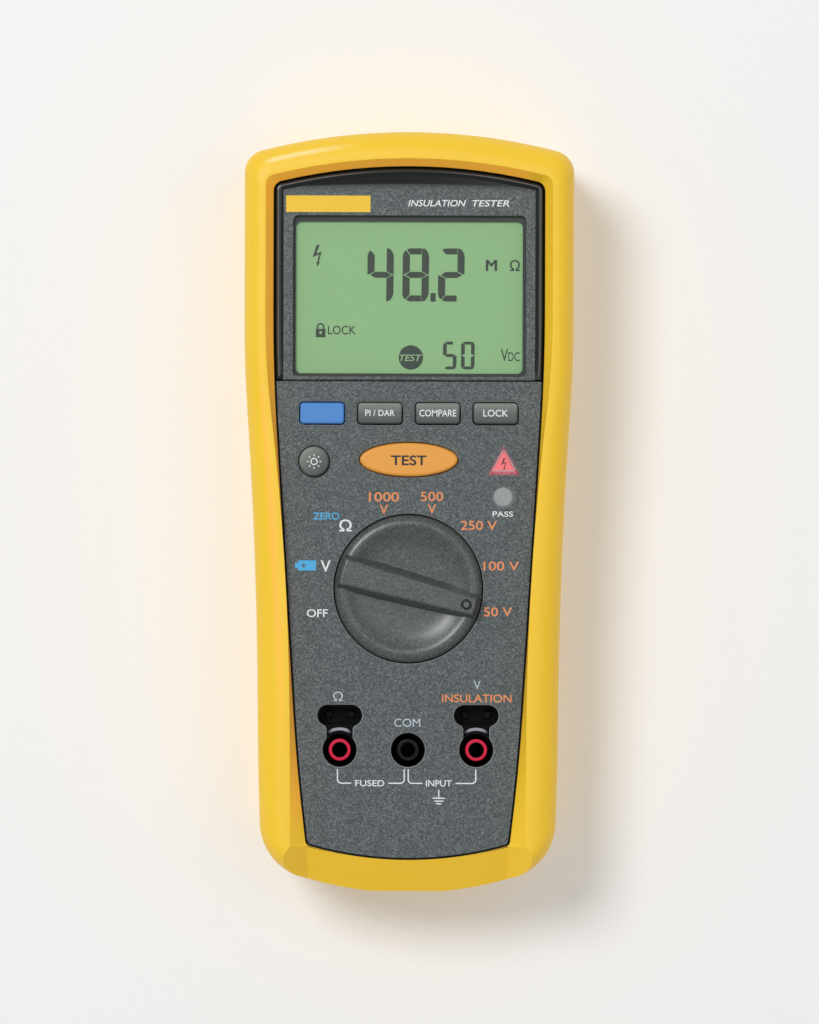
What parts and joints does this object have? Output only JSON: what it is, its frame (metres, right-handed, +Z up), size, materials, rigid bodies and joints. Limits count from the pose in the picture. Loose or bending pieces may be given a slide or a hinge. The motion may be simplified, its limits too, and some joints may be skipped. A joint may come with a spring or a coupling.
{
  "type": "insulation resistance tester",
  "caption": "Handheld insulation tester in a yellow rubber holster, with display, keys, rotary selector, banana sockets, battery door and tilt stand.",
  "frame": {"origin": "on the standing plane, under the middle of the holster's bounding box", "axes": "+Z up the meter's length, -Y out of its face, +X to the right of the face"},
  "size_m": [0.0922, 0.05, 0.2125],
  "materials": {
    "holster_rubber": "satin moulded elastomer, yellow",
    "case_grey": "textured moulded, dark speckled grey",
    "black_plastic": "moulded black",
    "clear_window": "clear hard-coated polycarbonate",
    "black_film": "gloss black adhesive film",
    "lcd_green": "liquid crystal display with green backlight",
    "diffuser": "milky acrylic light guide",
    "key_blue": "moulded key, blue",
    "key_grey": "moulded key, dark grey",
    "key_orange": "moulded key, orange",
    "knob_grey": "fine textured moulding, dark grey",
    "silicone": "silicone rubber, grey",
    "red_plastic": "moulded red insulator",
    "red_lens": "tinted diffusing lens, red",
    "grey_lens": "diffusing lens, grey",
    "brass": "machined, nickel-brass",
    "steel": "zinc-plated steel",
    "board": "glass-epoxy laminate with green solder mask",
    "chip_black": "moulded epoxy",
    "ferrite": "sintered ferrite",
    "copper_tape": "enamelled copper winding under yellow tape",
    "film_box": "potted film capacitor box",
    "can_blue": "sleeved aluminium can",
    "surge_blue": "epoxy-dipped disc",
    "fuse_body": "ceramic tube with plated caps",
    "cell_wrap": "wrapped alkaline cell",
    "zebra": "layered conductive elastomer"
  },
  "bodies": {
    "meter": {"holster": "holster_rubber", "front_case": "case_grey", "rear_case": "case_grey", "case_gasket": "silicone", "case_screws": "steel", "display_window": "clear_window", "window_adhesive": "black_film", "lcd_bezel": "black_plastic", "lcd_glass": "lcd_green", "lcd_backlight": "diffuser", "zebra_strips": "zebra", "warning_lens": "red_lens", "pass_lens": "grey_lens", "indicator_leds": "diffuser", "keypad_membrane": "silicone", "selector_seal": "silicone", "detent_ring": "black_plastic", "terminal_block": "black_plastic", "ohm_jack_sleeve": "red_plastic", "common_jack_sleeve": "black_plastic", "volt_jack_sleeve": "red_plastic", "jack_contacts": "brass", "probe_contacts": "brass", "main_board": "board", "power_board": "board", "board_screws": "steel", "board_connector": "black_plastic", "control_chips": "chip_black", "buzzer": "chip_black", "fuse": "fuse_body", "fuse_clips": "brass", "transformer_core": "ferrite", "transformer_coil": "copper_tape", "film_capacitors": "film_box", "smoothing_capacitors": "can_blue", "relay": "chip_black", "surge_arrestors": "surge_blue", "battery_cells": "cell_wrap", "battery_plates": "steel", "battery_springs": "steel"},
    "selector": {"selector_knob": "knob_grey", "knob_pointer": "knob_grey", "selector_shaft": "steel", "selector_rotor": "black_plastic", "wiper_contacts": "brass", "detent_spring": "steel"},
    "door": {"battery_door": "case_grey", "door_seal": "silicone"},
    "left_lock": {"left_door_lock": "steel"},
    "right_lock": {"right_door_lock": "steel"},
    "stand": {"tilt_stand": "case_grey"},
    "function_button": {"function_key": "key_blue"},
    "ratio_button": {"ratio_key": "key_grey"},
    "compare_button": {"compare_key": "key_grey"},
    "lock_button": {"lock_key": "key_grey"},
    "test_button": {"test_key": "key_orange"},
    "backlight_button": {"backlight_key": "key_grey"}
  },
  "joints": [
    {"name": "selector_turn", "type": "hinge", "parent": "meter", "child": "selector", "pos_m": [0, -0.018, 0.0848], "axis": [0, -1, 0], "range_deg": [0, 210]},
    {"name": "function_press", "type": "slide", "parent": "meter", "child": "function_button", "axis": [0, 1, 0], "range_m": [0, 0.001], "stiffness_N_per_m": 1500, "springref_m": -0.0002},
    {"name": "ratio_press", "type": "slide", "parent": "meter", "child": "ratio_button", "axis": [0, 1, 0], "range_m": [0, 0.001], "stiffness_N_per_m": 1500, "springref_m": -0.0002},
    {"name": "compare_press", "type": "slide", "parent": "meter", "child": "compare_button", "axis": [0, 1, 0], "range_m": [0, 0.001], "stiffness_N_per_m": 1500, "springref_m": -0.0002},
    {"name": "lock_press", "type": "slide", "parent": "meter", "child": "lock_button", "axis": [0, 1, 0], "range_m": [0, 0.001], "stiffness_N_per_m": 1500, "springref_m": -0.0002},
    {"name": "test_press", "type": "slide", "parent": "meter", "child": "test_button", "axis": [0, 1, 0], "range_m": [0, 0.001], "stiffness_N_per_m": 1500, "springref_m": -0.0002},
    {"name": "backlight_press", "type": "slide", "parent": "meter", "child": "backlight_button", "axis": [0, 1, 0], "range_m": [0, 0.001], "stiffness_N_per_m": 1500, "springref_m": -0.0002},
    {"name": "stand_swing", "type": "hinge", "parent": "meter", "child": "stand", "pos_m": [0, 0.0224, 0.115], "axis": [1, 0, 0], "range_deg": [0, 55]},
    {"name": "door_lift", "type": "slide", "parent": "meter", "child": "door", "axis": [0, 1, 0], "range_m": [0, 0.03]},
    {"name": "left_lock_turn", "type": "hinge", "parent": "door", "child": "left_lock", "pos_m": [-0.024, 0.0235, 0.1288], "axis": [0, 1, 0], "range_deg": [0, 90]},
    {"name": "right_lock_turn", "type": "hinge", "parent": "door", "child": "right_lock", "pos_m": [0.024, 0.0235, 0.1288], "axis": [0, 1, 0], "range_deg": [0, 90]}
  ]
}
